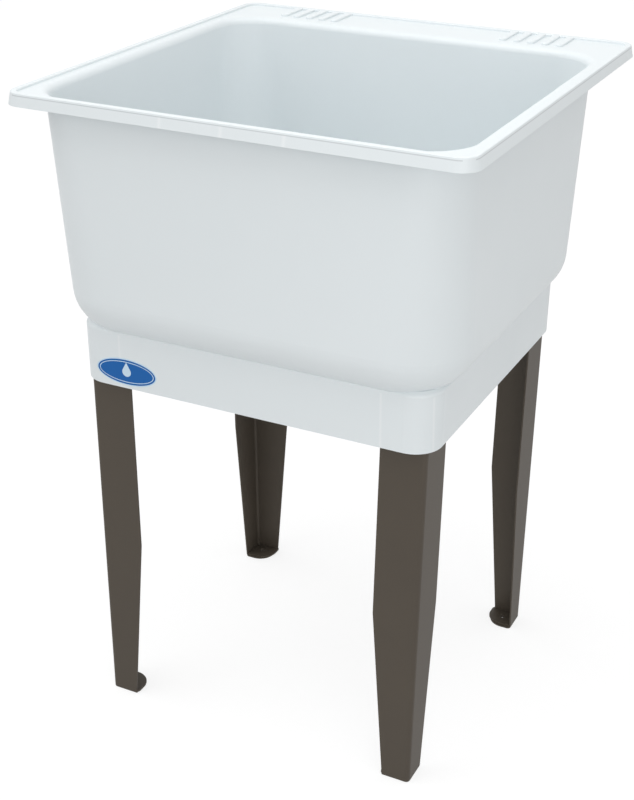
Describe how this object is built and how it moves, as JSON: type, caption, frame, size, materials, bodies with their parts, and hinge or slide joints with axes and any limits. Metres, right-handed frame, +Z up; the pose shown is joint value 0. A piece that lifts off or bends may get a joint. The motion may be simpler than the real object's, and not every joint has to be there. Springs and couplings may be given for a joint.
{
  "type": "utility laundry sink",
  "caption": "Floor-standing moulded laundry tub with a deep bowl, soap ribs on its back ledge, pressed-steel legs and a drain with a strainer and a lift-out stopper.",
  "frame": {"origin": "on the floor, under the middle of the rim", "axes": "+Z up; the user stands on the -Y side; +X to the user's right; the soap ledge is at +Y"},
  "size_m": [0.584, 0.597, 0.838],
  "materials": {
    "tub": "moulded, satin gloss, pale cool white",
    "legs": "baked enamel, semi-gloss, dark bronze-brown",
    "screws": "zinc plated",
    "drain": "moulded, satin white",
    "strainer": "stainless, brushed",
    "rubber": "matt black",
    "washers": "translucent natural, matt",
    "ring": "stainless wire"
  },
  "bodies": {
    "sink": {"tub": "tub", "leg_front_left": "legs", "leg_front_right": "legs", "leg_back_left": "legs", "leg_back_right": "legs", "leg_screws": "screws", "drain_body": "drain", "strainer_plate": "strainer", "strainer_screw": "strainer", "drain_gasket": "rubber", "friction_washer": "washers", "drain_locknut": "drain", "tailpiece": "drain", "tailpiece_washer": "washers", "coupling_nut": "drain"},
    "stopper": {"stopper": "rubber"},
    "ring": {"stopper_ring": "ring"}
  },
  "joints": [
    {"name": "stopper_lift", "type": "slide", "parent": "sink", "child": "stopper", "axis": [0, 0, 1], "range_m": [0, 0.06]},
    {"name": "ring_swing", "type": "hinge", "parent": "stopper", "child": "ring", "pos_m": [0, -0.0315, 0.5383], "axis": [-1, 0, 0], "range_deg": [0, 190]}
  ]
}
